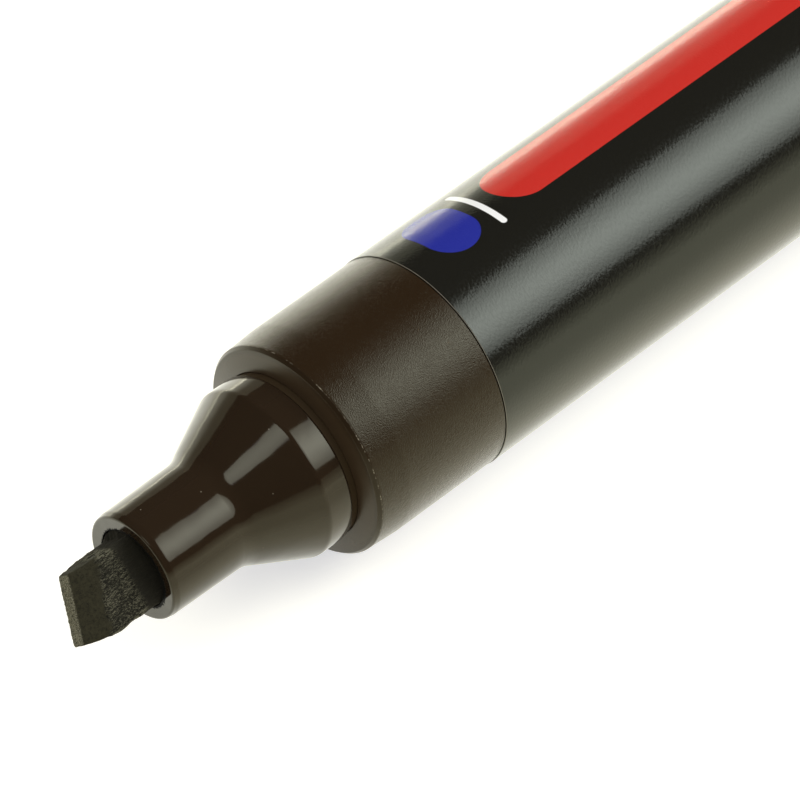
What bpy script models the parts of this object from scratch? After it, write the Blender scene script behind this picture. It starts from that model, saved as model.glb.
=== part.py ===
# Permanent marker with a chisel felt nib, lying on its side with its cap posted on the tail.
# Lengths are in metres. Every turned piece is drawn upright on one axis, nib up, from the seam
# between the collar and the barrel, and an empty lays that axis down along X.
import math

import bmesh
import bpy
from mathutils import Matrix, Vector

# Fits
CLEARANCE = 0.0003

# Barrel
BARREL_RADIUS = 0.0100
BARREL_WALL = 0.0005
BARREL_LENGTH = 0.0800

# Grip collar and the tenons that hold it and the tail plug in the barrel
GRIP_STEP = 0.0001
GRIP_LENGTH = 0.0145
GRIP_EDGE = 0.00065
GRIP_FACE_DROP = 0.00045
GRIP_FRONT_STEP = 0.00016
GRIP_DRAFT_LENGTH = 0.0032
TENON_LENGTH = 0.0090
TENON_WALL = 0.0010
SEAT_WEB = 0.0015
SEAT_LIP = 0.0011

# Nose
LAND_RADIUS = 0.00775
LAND_LENGTH = 0.00245
LAND_EDGE = 0.00020
GROOVE_WIDTH = 0.0007
GROOVE_DEPTH = 0.0008
CONE_LENGTH = 0.0060
SNOUT_RADIUS = 0.0050
SNOUT_DRAFT = 0.00012
SNOUT_LENGTH = 0.0083
SNOUT_WALL = 0.00083
LIP_EDGE = 0.00020
MOUTH_DEPTH = 0.0040
NIB_SEAT_LENGTH = 0.0060
NOSE_WALL = 0.0013

# Nib
NIB_WIDTH = 0.0057
NIB_THICKNESS = 0.0040
NIB_TIP_THICKNESS = 0.0017
NIB_REACH = 0.0065
NIB_SLANT = math.radians(20.0)
NIB_BEVEL_RUN = 0.0024
NIB_RELIEF = 0.00050
NIB_RELIEF_RUN = 0.0026
NIB_EDGE = 0.00030
NIB_ROLL = math.radians(-45.0)
NIB_SOAK = 0.0060

# Reservoir
WRAP_THICKNESS = 0.0002

# Tail plug
FLANGE_LENGTH = 0.0015
PLUG_WALL = 0.0012
SPIGOT_RELIEF = 0.0020
PLUG_EDGE = 0.0003

# Cap
CAP_END = 0.0020
CAP_END_EDGE = 0.0012
CAP_MOUTH_EDGE = 0.0003
CAP_BORE_STEP = 0.0004
LINER_WALL = 0.0008
LINER_BASE = 0.0012
LINER_LAP = 0.0063
NIB_HEADROOM = 0.0070

# Pocket clip
CLIP_LENGTH = 0.0280
CLIP_WIDTH = 0.0052
CLIP_TIP_WIDTH = 0.0042
CLIP_THICKNESS = 0.0016
CLIP_GAP = 0.0013
CLIP_FOOT = 0.0050
CLIP_INSET = 0.0016
CLIP_BUMP_GAP = 0.0004
CLIP_BUMP_LENGTH = 0.0036
CLIP_EDGE = 0.0004
CLIP_ROOT_SINK = 0.0007

# Facets round a full turn, and points on a rounded edge
SEGMENTS = 48
ARC_STEPS = 3

# Radii that follow from the fits
grip_radius = BARREL_RADIUS - GRIP_STEP
barrel_bore = BARREL_RADIUS - BARREL_WALL
tenon_radius = barrel_bore - CLEARANCE
tenon_bore = tenon_radius - TENON_WALL
wrap_radius = tenon_bore - CLEARANCE
wrap_bore = wrap_radius - WRAP_THICKNESS
reservoir_radius = wrap_bore - CLEARANCE
nose_body_radius = LAND_RADIUS - CLEARANCE
neck_radius = LAND_RADIUS - GROOVE_DEPTH
snout_tip_radius = SNOUT_RADIUS - SNOUT_DRAFT
mouth_radius = snout_tip_radius - SNOUT_WALL
cap_bore = LAND_RADIUS + CLEARANCE
cap_inner_bore = cap_bore - CAP_BORE_STEP
liner_bore = SNOUT_RADIUS + CLEARANCE
liner_radius = liner_bore + LINER_WALL
liner_base_radius = cap_inner_bore - CLEARANCE

# Heights on the axis, with the nib up and the seam at zero
grip_foot = CLEARANCE
seat_top = SEAT_WEB / 2
seat_foot = -SEAT_WEB / 2
nose_foot = seat_top + CLEARANCE
nose_shoulder = GRIP_LENGTH - CLEARANCE
land_foot = GRIP_LENGTH + GROOVE_WIDTH
land_top = land_foot + LAND_LENGTH
cone_top = land_top + CONE_LENGTH
snout_top = cone_top + SNOUT_LENGTH
mouth_floor = snout_top - MOUTH_DEPTH
chamber_top = mouth_floor - NIB_SEAT_LENGTH
nib_edge_middle = snout_top + NIB_REACH
nib_tip = nib_edge_middle + NIB_WIDTH / 2 * math.tan(NIB_SLANT)
reservoir_top = seat_foot - CLEARANCE
nib_foot = reservoir_top - NIB_SOAK
barrel_foot = -BARREL_LENGTH
tenon_step = barrel_foot + TENON_LENGTH
flange_top = barrel_foot - CLEARANCE
flange_foot = flange_top - FLANGE_LENGTH
reservoir_foot = barrel_foot + CLEARANCE
cap_mouth = flange_foot - CLEARANCE

# The closed cap stands on the grip's face, so its depths come from the nose that it covers
liner_setback = snout_top - LINER_LAP - (GRIP_LENGTH + CLEARANCE)
nib_depth = nib_tip - (GRIP_LENGTH + CLEARANCE)
cap_depth = nib_depth + NIB_HEADROOM + LINER_BASE + CLEARANCE
liner_mouth = cap_mouth - liner_setback
cap_floor = cap_mouth - cap_depth
cap_foot = cap_floor - CAP_END
spigot_foot = cap_mouth - liner_setback + SPIGOT_RELIEF

# The axis lies one flat of the faceted barrel above the ground, midway along the whole length
axis_height = BARREL_RADIUS * math.cos(math.pi / SEGMENTS)
seam_x = (nib_tip + cap_foot) / 2


def clear_scene():
    for item in list(bpy.data.objects):
        bpy.data.objects.remove(item, do_unlink=True)


def new_collection(name):
    collection = bpy.data.collections.new(name)
    bpy.context.scene.collection.children.link(collection)
    return collection


def finish_material(name, colour, roughness, metallic=0.0):
    material = bpy.data.materials.new(name)
    material.use_nodes = True
    shader = material.node_tree.nodes["Principled BSDF"]
    shader.inputs["Base Color"].default_value = (*colour, 1.0)
    shader.inputs["Roughness"].default_value = roughness
    shader.inputs["Metallic"].default_value = metallic
    return material


def add_piece(name, mesh, collection, axis, material=None):
    piece = bpy.data.objects.new(name, mesh)
    collection.objects.link(piece)
    piece.parent = axis
    if material:
        mesh.materials.append(material)
    return piece


def add_cutter(name, mesh, axis):
    cutter = add_piece(name, mesh, cutters, axis)
    cutter.hide_render = True
    cutter.display_type = "WIRE"
    return cutter


def arc(centre_r, centre_z, radius, start, end):
    # Points of a rounded edge, from one angle to the other in degrees, zero pointing outwards
    turn = math.radians(end - start)
    angles = [math.radians(start) + turn * step / ARC_STEPS for step in range(ARC_STEPS + 1)]
    return [(centre_r + radius * math.cos(a), centre_z + radius * math.sin(a)) for a in angles]


def turned_piece(name, profile, material, closed):
    # A profile of (radius, height) points runs down its outer side and is swept once round the axis.
    # It starts half a facet off the X axis, so that a flat of the finished piece faces the ground.
    half_facet = math.pi / SEGMENTS
    mesh = bpy.data.meshes.new(name)
    points = [(r * math.cos(half_facet), r * math.sin(half_facet), z) for r, z in profile]
    edges = [(i, i + 1) for i in range(len(points) - 1)]
    if closed:
        edges.append((len(points) - 1, 0))
    mesh.from_pydata(points, edges, [])
    piece = add_piece(name, mesh, parts, axis_empty, material)
    screw = piece.modifiers.new("turn", "SCREW")
    screw.axis = "Z"
    screw.angle = math.tau
    screw.steps = SEGMENTS
    screw.render_steps = SEGMENTS
    screw.use_merge_vertices = True
    screw.merge_threshold = 0.00001
    screw.use_smooth_shade = True
    return piece


def cut(piece, cutter, operation="DIFFERENCE"):
    boolean = piece.modifiers.new(operation.lower(), "BOOLEAN")
    boolean.operation = operation
    boolean.solver = "EXACT"
    boolean.object = cutter


def box_mesh(name, size, centre):
    bm = bmesh.new()
    bmesh.ops.create_cube(bm, size=1.0)
    bmesh.ops.scale(bm, vec=size, verts=bm.verts)
    bmesh.ops.translate(bm, vec=centre, verts=bm.verts)
    mesh = bpy.data.meshes.new(name)
    bm.to_mesh(mesh)
    bm.free()
    return mesh


def slice_off(bm, point, normal):
    # Cuts away what lies beyond a plane and closes the cut with one face
    geometry = bm.verts[:] + bm.edges[:] + bm.faces[:]
    result = bmesh.ops.bisect_plane(
        bm, geom=geometry, plane_co=point, plane_no=normal, clear_outer=True)
    rim = [item for item in result["geom_cut"] if isinstance(item, bmesh.types.BMEdge)]
    bmesh.ops.contextual_create(bm, geom=rim)


def shade_round(piece):
    piece.data.shade_smooth()
    piece.data.set_sharp_from_angle(angle=math.radians(35.0))


def make_nib():
    # A felt bar cut obliquely across its width, bevelled on both broad faces along that cut,
    # and relieved at the side of its leading corner
    half_width = NIB_WIDTH / 2
    half_tip = NIB_TIP_THICKNESS / 2
    bevel_rise = (NIB_THICKNESS - NIB_TIP_THICKNESS) / 2
    length = nib_tip - nib_foot
    bm = bmesh.new()
    bmesh.ops.create_cube(bm, size=1.0)
    bmesh.ops.scale(bm, vec=(NIB_THICKNESS, NIB_WIDTH, length), verts=bm.verts)
    bmesh.ops.translate(bm, vec=(0, 0, nib_foot + length / 2), verts=bm.verts)
    long_edges = [e for e in bm.edges if abs(e.verts[0].co.z - e.verts[1].co.z) > length / 2]
    bmesh.ops.bevel(bm, geom=long_edges, offset=NIB_EDGE, segments=2, profile=0.5, affect="EDGES")
    edge_point = Vector((0, 0, nib_edge_middle))
    edge_way = Vector((0, -math.cos(NIB_SLANT), math.sin(NIB_SLANT)))
    slice_off(bm, edge_point, Vector((1, 0, 0)).cross(edge_way) * -1)
    for side in (1, -1):
        shoulder = Vector((side * bevel_rise, 0, -NIB_BEVEL_RUN))
        normal = edge_way.cross(shoulder)
        normal *= side
        slice_off(bm, edge_point + Vector((side * half_tip, 0, 0)), normal)
    relief_point = Vector((0, -half_width, nib_tip - NIB_RELIEF_RUN))
    slice_off(bm, relief_point, Vector((0, -NIB_RELIEF_RUN, NIB_RELIEF)))
    bmesh.ops.recalc_face_normals(bm, faces=bm.faces)
    mesh = bpy.data.meshes.new("chisel_nib")
    bm.to_mesh(mesh)
    bm.free()
    nib = add_piece("chisel_nib", mesh, parts, axis_empty, felt)
    nib.rotation_euler.z = NIB_ROLL
    shade_round(nib)
    return nib


def make_nib_cutter(name, foot, top):
    # The nib's own section with clearance all round, from one height to another
    size = (NIB_THICKNESS + 2 * CLEARANCE, NIB_WIDTH + 2 * CLEARANCE, top - foot)
    mesh = box_mesh(name, size, (0, 0, (foot + top) / 2))
    cutter = add_cutter(name, mesh, axis_empty)
    cutter.rotation_euler.z = NIB_ROLL
    return cutter


def make_nose():
    # Snout with a flat lip, cone, land and snap groove outside. Inside, the mouth, the solid
    # nib seat and the chamber that opens to the rear.
    cone_slope = (LAND_RADIUS - SNOUT_RADIUS) / CONE_LENGTH
    chamber_radius = nose_body_radius - NOSE_WALL
    chamber_neck = SNOUT_RADIUS + (cone_top - chamber_top) * cone_slope - NOSE_WALL
    chamber_knee = chamber_top - (chamber_radius - chamber_neck) / cone_slope
    profile = [(0, mouth_floor), (mouth_radius, mouth_floor), (mouth_radius, snout_top)]
    profile += arc(snout_tip_radius - LIP_EDGE, snout_top - LIP_EDGE, LIP_EDGE, 90, 0)
    profile += [(SNOUT_RADIUS, cone_top)]
    profile += [(LAND_RADIUS - LAND_EDGE * cone_slope, land_top + LAND_EDGE)]
    profile += [(LAND_RADIUS, land_top - LAND_EDGE), (LAND_RADIUS, land_foot)]
    profile += [(neck_radius, land_foot), (neck_radius, nose_shoulder)]
    profile += [(nose_body_radius, nose_shoulder), (nose_body_radius, nose_foot)]
    profile += [(chamber_radius, nose_foot), (chamber_radius, chamber_knee)]
    profile += [(chamber_neck, chamber_top), (0, chamber_top)]
    nose = turned_piece("nose_cone", profile, gloss_plastic, closed=False)
    cut(nose, make_nib_cutter("nib_seat_cutter", chamber_top - CLEARANCE, mouth_floor + CLEARANCE))
    return nose


def make_collar():
    # Matte sleeve round the nose, with a web that the nose stands on and a tenon in the barrel.
    # Its face slopes back to a rounded edge, behind which the side widens to its full radius.
    seat_bore = nose_body_radius - SEAT_LIP
    nose_socket = nose_body_radius + CLEARANCE
    front_radius = grip_radius - GRIP_FRONT_STEP
    slope = math.atan2(GRIP_FACE_DROP, front_radius - nose_socket)
    edge_r = front_radius - GRIP_EDGE
    edge_z = GRIP_LENGTH - (edge_r - nose_socket) * math.tan(slope) - GRIP_EDGE / math.cos(slope)
    profile = [(nose_socket, GRIP_LENGTH)]
    profile += arc(edge_r, edge_z, GRIP_EDGE, 90 - math.degrees(slope), 0)
    profile += [(grip_radius, edge_z - GRIP_DRAFT_LENGTH), (grip_radius, grip_foot)]
    profile += [(tenon_radius, grip_foot), (tenon_radius, -TENON_LENGTH)]
    profile += [(tenon_bore, -TENON_LENGTH), (tenon_bore, seat_foot)]
    profile += [(seat_bore, seat_foot), (seat_bore, seat_top), (nose_socket, seat_top)]
    return turned_piece("grip_collar", profile, matte_plastic, closed=True)


def make_barrel():
    profile = [(BARREL_RADIUS, 0), (BARREL_RADIUS, barrel_foot)]
    profile += [(barrel_bore, barrel_foot), (barrel_bore, 0)]
    return turned_piece("barrel_tube", profile, lacquer, closed=True)


def make_reservoir():
    profile = [(0, reservoir_top), (reservoir_radius, reservoir_top)]
    profile += [(reservoir_radius, reservoir_foot), (0, reservoir_foot)]
    reservoir = turned_piece("ink_reservoir", profile, fibre, closed=False)
    cut(reservoir, make_nib_cutter("nib_pocket_cutter", nib_foot - CLEARANCE, reservoir_top + CLEARANCE))
    return reservoir


def make_wrap():
    profile = [(wrap_radius, reservoir_top), (wrap_radius, reservoir_foot)]
    profile += [(wrap_bore, reservoir_foot), (wrap_bore, reservoir_top)]
    return turned_piece("reservoir_wrap", profile, film, closed=True)


def make_plug():
    # A tenon in the barrel, a flange against the barrel's end and a hollow spigot for the cap
    spigot_bore = LAND_RADIUS - PLUG_WALL
    profile = [(tenon_radius, tenon_step), (tenon_radius, flange_top), (grip_radius, flange_top)]
    profile += arc(grip_radius - PLUG_EDGE, flange_foot + PLUG_EDGE, PLUG_EDGE, 0, -90)
    profile += [(LAND_RADIUS, flange_foot)]
    profile += arc(LAND_RADIUS - PLUG_EDGE, spigot_foot + PLUG_EDGE, PLUG_EDGE, 0, -90)
    profile += [(0, spigot_foot), (0, spigot_foot + PLUG_WALL), (spigot_bore, spigot_foot + PLUG_WALL)]
    profile += [(spigot_bore, barrel_foot), (tenon_bore, barrel_foot), (tenon_bore, tenon_step)]
    return turned_piece("tail_plug", profile, gloss_plastic, closed=True)


def clip_outline():
    # Side view of the clip as (height, radius): a foot grown out of the cap near its closed end,
    # a straight bar and a rounded bump near its free end
    foot = cap_foot + CLIP_INSET
    top = foot + CLIP_LENGTH
    root = grip_radius - CLIP_ROOT_SINK
    inner = grip_radius + CLIP_GAP
    outer = inner + CLIP_THICKNESS
    bump = grip_radius + CLIP_BUMP_GAP
    round_top = CLIP_THICKNESS / 2
    points = [(foot, root), (foot + CLIP_FOOT, root), (foot + CLIP_FOOT, inner)]
    points += [(top - CLIP_BUMP_LENGTH, inner), (top - CLIP_BUMP_LENGTH / 2, bump), (top - round_top, bump)]
    points += [(top, bump + round_top), (top, outer - round_top), (top - round_top, outer)]
    points += [(foot + CLIP_THICKNESS, outer), (foot, inner)]
    return points


def make_clip_mesh():
    # The outline is filled as a flat curve, given its width, narrowed to its free end and bevelled
    outline = clip_outline()
    curve = bpy.data.curves.new("clip_outline", "CURVE")
    curve.dimensions = "2D"
    curve.fill_mode = "BOTH"
    curve.extrude = CLIP_WIDTH / 2
    spline = curve.splines.new("POLY")
    spline.points.add(len(outline) - 1)
    for point, (along, out) in zip(spline.points, outline):
        point.co = (along, out, 0, 1)
    spline.use_cyclic_u = True
    sheet = bpy.data.objects.new("clip_outline", curve)
    cutters.objects.link(sheet)
    evaluated = sheet.evaluated_get(bpy.context.evaluated_depsgraph_get())
    mesh = bpy.data.meshes.new_from_object(evaluated)
    bpy.data.objects.remove(sheet, do_unlink=True)
    bm = bmesh.new()
    bm.from_mesh(mesh)
    bmesh.ops.remove_doubles(bm, verts=bm.verts, dist=0.00001)
    bmesh.ops.dissolve_limit(bm, angle_limit=0.01, verts=bm.verts, edges=bm.edges)
    bm.transform(Matrix(((0, 1, 0, 0), (0, 0, 1, 0), (1, 0, 0, 0), (0, 0, 0, 1))))
    start = cap_foot + CLIP_INSET + CLIP_FOOT
    run = CLIP_LENGTH - CLIP_FOOT
    for vert in bm.verts:
        share = min(max((vert.co.z - start) / run, 0), 1)
        vert.co.y *= 1 + share * (CLIP_TIP_WIDTH / CLIP_WIDTH - 1)
    bmesh.ops.recalc_face_normals(bm, faces=bm.faces)
    bm.to_mesh(mesh)
    bm.free()
    return mesh


def make_cap(axis):
    # The bore steps in behind the land's length, and the moulded clip is one body with the shell
    step_height = cap_mouth - liner_setback
    profile = arc(grip_radius - CAP_MOUTH_EDGE, cap_mouth - CAP_MOUTH_EDGE, CAP_MOUTH_EDGE, 90, 0)
    profile += arc(grip_radius - CAP_END_EDGE, cap_foot + CAP_END_EDGE, CAP_END_EDGE, 0, -90)
    profile += [(0, cap_foot), (0, cap_floor), (cap_inner_bore, cap_floor)]
    profile += [(cap_inner_bore, step_height), (cap_bore, step_height), (cap_bore, cap_mouth)]
    shell = turned_piece("cap_shell", profile, matte_plastic, closed=True)
    clip = add_cutter("clip_body", make_clip_mesh(), axis_empty)
    bevel = clip.modifiers.new("edges", "BEVEL")
    bevel.width = CLIP_EDGE
    bevel.segments = 2
    bevel.limit_method = "ANGLE"
    cut(shell, clip, "UNION")
    shell.parent = axis
    return shell


def make_liner(axis):
    foot = cap_floor + CLEARANCE
    base = foot + LINER_BASE
    profile = [(liner_radius, liner_mouth), (liner_radius, base), (liner_base_radius, base)]
    profile += [(liner_base_radius, foot), (0, foot), (0, base), (liner_bore, base)]
    profile += [(liner_bore, liner_mouth)]
    liner = turned_piece("cap_liner", profile, liner_plastic, closed=True)
    liner.parent = axis
    return liner


clear_scene()
parts = new_collection("permanent_marker")
cutters = new_collection("permanent_marker_cutters")

felt = finish_material("felt", (0.030, 0.028, 0.024), 0.95)
gloss_plastic = finish_material("gloss_plastic", (0.022, 0.016, 0.012), 0.12)
matte_plastic = finish_material("matte_plastic", (0.026, 0.020, 0.015), 0.45)
lacquer = finish_material("lacquer", (0.012, 0.011, 0.010), 0.18)
fibre = finish_material("fibre", (0.050, 0.048, 0.046), 1.0)
film = finish_material("film", (0.600, 0.600, 0.580), 0.25)
liner_plastic = finish_material("liner_plastic", (0.550, 0.550, 0.530), 0.40)

axis_empty = bpy.data.objects.new("marker_axis", None)
axis_empty.location = (seam_x, 0, axis_height)
axis_empty.rotation_euler.y = math.radians(-90.0)
parts.objects.link(axis_empty)

cap_axis = bpy.data.objects.new("cap_axis", None)
cap_axis.parent = axis_empty
parts.objects.link(cap_axis)

make_nib()
make_nose()
make_collar()
make_barrel()
make_reservoir()
make_wrap()
make_plug()
make_cap(cap_axis)
make_liner(cap_axis)
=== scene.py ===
# Looks of the open chisel marker: turned plastic, a lacquered barrel and a felt nib.
import math

import bpy
import numpy as np
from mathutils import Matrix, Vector


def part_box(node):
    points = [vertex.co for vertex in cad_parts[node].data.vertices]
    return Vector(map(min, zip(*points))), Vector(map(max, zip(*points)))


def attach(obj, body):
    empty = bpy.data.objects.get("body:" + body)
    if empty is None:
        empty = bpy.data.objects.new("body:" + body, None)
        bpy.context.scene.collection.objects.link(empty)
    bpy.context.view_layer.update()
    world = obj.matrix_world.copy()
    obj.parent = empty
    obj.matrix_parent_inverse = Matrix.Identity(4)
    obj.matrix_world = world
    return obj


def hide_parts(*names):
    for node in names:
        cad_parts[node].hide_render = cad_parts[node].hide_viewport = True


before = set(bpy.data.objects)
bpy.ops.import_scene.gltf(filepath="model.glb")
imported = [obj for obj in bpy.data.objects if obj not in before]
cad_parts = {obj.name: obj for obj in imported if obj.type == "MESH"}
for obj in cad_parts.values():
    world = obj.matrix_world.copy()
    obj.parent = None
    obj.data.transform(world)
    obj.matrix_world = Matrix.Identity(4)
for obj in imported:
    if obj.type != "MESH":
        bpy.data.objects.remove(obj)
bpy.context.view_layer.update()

mm = 0.001

barrelLow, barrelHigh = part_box("barrel_tube")
seamX = barrelLow[0]                               # where the collar meets the barrel
axisY = (barrelLow[1] + barrelHigh[1]) / 2
axisZ = (barrelLow[2] + barrelHigh[2]) / 2


# Distance of a node's two ends from the seam in mm, towards the nib counted positive: nib side, tail side
def reach(nodeName):
    low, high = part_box(nodeName)
    return (seamX - low[0]) / mm, (seamX - high[0]) / mm


noseTip, noseRear = reach("nose_cone")
collarFace, collarRear = reach("grip_collar")
barrelFront, barrelRear = reach("barrel_tube")
nibTip, nibFoot = reach("chisel_nib")
plugFront, plugRear = reach("tail_plug")
capMouth, capEnd = reach("cap_shell")
linerMouth, linerRear = reach("cap_liner")
print("frame: nib tip %.2f mm ahead of the seam, cap end %.2f mm behind it" % (nibTip, -capEnd))


# Rounds a line of (along, radius, rounding) corners: each corner becomes an arc tangent to both sides,
# with one close point beyond each end of the arc so that the flat beside it stays flat in shading.
def roundedLine(corners, closed=True, arcStep=9.0, hold=0.05):
    spots = [np.array(corner[:2], float) for corner in corners]
    count = len(corners)
    line = []
    for i, corner in enumerate(corners):
        if not closed and i in (0, count - 1):
            line.append(spots[i])
            continue
        here, before, after = spots[i], spots[i - 1], spots[(i + 1) % count]
        backWay = (before - here) / np.linalg.norm(before - here)
        onWay = (after - here) / np.linalg.norm(after - here)
        inWay = (backWay + onWay) / np.linalg.norm(backWay + onWay)
        opening = math.acos(np.clip(backWay @ onWay, -1, 1))
        tangent = corner[2] / math.tan(opening / 2)
        turn = math.pi - opening
        centre = here + inWay * corner[2] / math.sin(opening / 2)
        first, last = here + backWay * tangent - centre, here + onWay * tangent - centre
        share = np.linspace(0, 1, max(3, math.ceil(math.degrees(turn) / arcStep) + 1))[:, None]
        arc = centre + (np.sin((1 - share) * turn) * first + np.sin(share * turn) * last) / math.sin(turn)
        line += [arc[0] + backWay * hold, *arc, arc[-1] + onWay * hold]
    return np.array(line)


# Puts a grid of points into a mesh. Rows follow the profile and columns go round and join up. A closed
# profile joins its last row to its first, otherwise the first and last rows are drawn in to poles. Marks
# are values at the points that a material reads by name.
def gridPiece(name, points, closedRows, material, marks=None):
    rows, cols = points.shape[:2]
    ids = np.arange(rows * cols).reshape(rows, cols)
    if not closedRows:
        ids[[0, -1]] = ids[[0, -1], :1]
    lower = ids if closedRows else ids[:-1]
    upper = np.roll(ids, -1, axis=0) if closedRows else ids[1:]
    quads = np.stack([lower, np.roll(lower, -1, 1), np.roll(upper, -1, 1), upper], -1).reshape(-1, 4)
    flat = points.reshape(-1, 3)
    corner = flat[quads]
    volume = np.einsum("ij,ij->", corner[:, 0], np.cross(corner[:, 1], corner[:, 2]))
    volume += np.einsum("ij,ij->", corner[:, 0], np.cross(corner[:, 2], corner[:, 3]))
    if volume < 0:
        quads = quads[:, ::-1]                     # faces point outwards
    used, inverse = np.unique(quads, return_inverse=True)
    quads = inverse.reshape(-1, 4)
    startSame = quads[:, 0] == quads[:, 1]
    endSame = quads[:, 2] == quads[:, 3]
    whole = quads[~(startSame | endSame)].tolist()
    fans = quads[startSame][:, [0, 2, 3]].tolist() + quads[endSame][:, [0, 1, 2]].tolist()
    mesh = bpy.data.meshes.new(name)
    mesh.from_pydata(flat[used].tolist(), [], whole + fans)
    mesh.shade_smooth()
    mesh.materials.append(material)
    for mark, values in (marks or {}).items():
        mesh.attributes.new(mark, "FLOAT", "POINT").data.foreach_set("value", values.reshape(-1)[used])
    piece = bpy.data.objects.new(name, mesh)
    bpy.context.scene.collection.objects.link(piece)
    return piece


# Places a grid of (along, radius) values round the axis: along runs from the seam towards the nib in mm.
def turnGrid(along, radius, angle):
    x = seamX - along * mm + 0 * angle
    y = axisY + radius * np.sin(angle) * mm
    z = axisZ + radius * np.cos(angle) * mm
    return np.stack([x, y, z], -1)


# A turned piece is a rounded profile carried round the axis.
def turnedPiece(name, corners, material, closed=True, segments=256):
    line = roundedLine(corners, closed)
    angle = np.linspace(0, 2 * np.pi, segments, endpoint=False)[None, :]
    return gridPiece(name, turnGrid(line[:, :1], line[:, 1:2], angle), closed, material)


def dress(piece, body, slotName, *nodes):
    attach(piece, body)
    if nodes:
        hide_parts(*nodes)
    return piece


# Materials: each starts from a Principled shader with its plain sockets set from a dictionary
def newFinish(name, sockets):
    material = bpy.data.materials.new(name)
    material.use_nodes = True
    shader = material.node_tree.nodes["Principled BSDF"]
    for socket, value in sockets.items():
        shader.inputs[socket].default_value = value
    return material, material.node_tree, shader


# Makes a node whose inputs are each linked to a socket or set to a plain value
def addNode(tree, kind, inputs, **settings):
    made = tree.nodes.new(kind)
    for key, value in settings.items():
        setattr(made, key, value)
    for socket, value in inputs.items():
        if isinstance(value, bpy.types.NodeSocket):
            tree.links.new(value, made.inputs[socket])
        else:
            made.inputs[socket].default_value = value
    return made


# Object coordinates in mm from the seam on the axis, +X towards the tail
def markerSpace(tree):
    coordinates = tree.nodes.new("ShaderNodeTexCoord")
    spot = (-seamX / mm, -axisY / mm, -axisZ / mm)
    return addNode(tree, "ShaderNodeMapping", {
        "Vector": coordinates.outputs["Object"], "Location": spot, "Scale": (1 / mm,) * 3}).outputs[0]


def maths(tree, operation, *values):
    return addNode(tree, "ShaderNodeMath", dict(enumerate(values)), operation=operation).outputs[0]


def squared(tree, value):
    return maths(tree, "MULTIPLY", value, value)


def ramp(tree, value, low, high, outLow=0.0, outHigh=1.0):
    return addNode(tree, "ShaderNodeMapRange", {
        "Value": value, "From Min": low, "From Max": high, "To Min": outLow, "To Max": outHigh},
        interpolation_type="SMOOTHSTEP").outputs[0]


def noise(tree, vector, scale, detail=2.0, roughness=0.5):
    return addNode(tree, "ShaderNodeTexNoise", {
        "Vector": vector, "Scale": scale, "Detail": detail, "Roughness": roughness}).outputs["Fac"]


# Inputs 6 and 7 and output 2 of a mix node are its colours
def mixColour(tree, share, first, second):
    return addNode(tree, "ShaderNodeMix", {"Factor": share, 6: first, 7: second}, data_type="RGBA").outputs[2]


def bump(tree, shader, height, distance, strength=1.0):
    made = addNode(tree, "ShaderNodeBump", {"Height": height, "Strength": strength, "Distance": distance})
    tree.links.new(made.outputs[0], shader.inputs["Normal"])


# Specks of dust: where a scattered point comes within a small distance of the surface, solid out to the core
def specks(tree, space, size, cell, core=0.6):
    points = addNode(tree, "ShaderNodeTexVoronoi", {"Vector": space, "Scale": 1 / cell})
    return ramp(tree, points.outputs["Distance"], size / cell, size / cell * core)


# Moulded gloss plastic of the nose: warm black, gently waved, dusty, inked round the mouth
glossPlastic = {
    "colour": (0.0202, 0.0124, 0.0067, 1), "shine": (0.98, 1.0, 0.74, 1), "gloss": 0.29, "coat": 0.22,
    "roughness": 0.07, "smearSize": 1.1, "smearSpan": (0.35, 0.75), "smearRoughness": 0.119,
    "waveSize": 4.2, "waveHeight": 0.11, "dust": (0.14, 0.12, 0.09, 1), "speckSize": 0.07, "speckCell": 1.6,
    "grooveDustAndLight": (0.041, 0.0268, 0.0138, 1), "grooveFrom": 15.1, "edgeSoft": 0.02,
    "ink": (0.006, 0.006, 0.006, 1), "inkRadius": 3.72, "inkRagged": 0.6, "inkSize": 0.16,
    "inkAside": (-0.22, 0.17), "inkDepth": (0.4, 0.2), "dullGloss": 0.05, "dullRoughness": 0.45}


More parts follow.
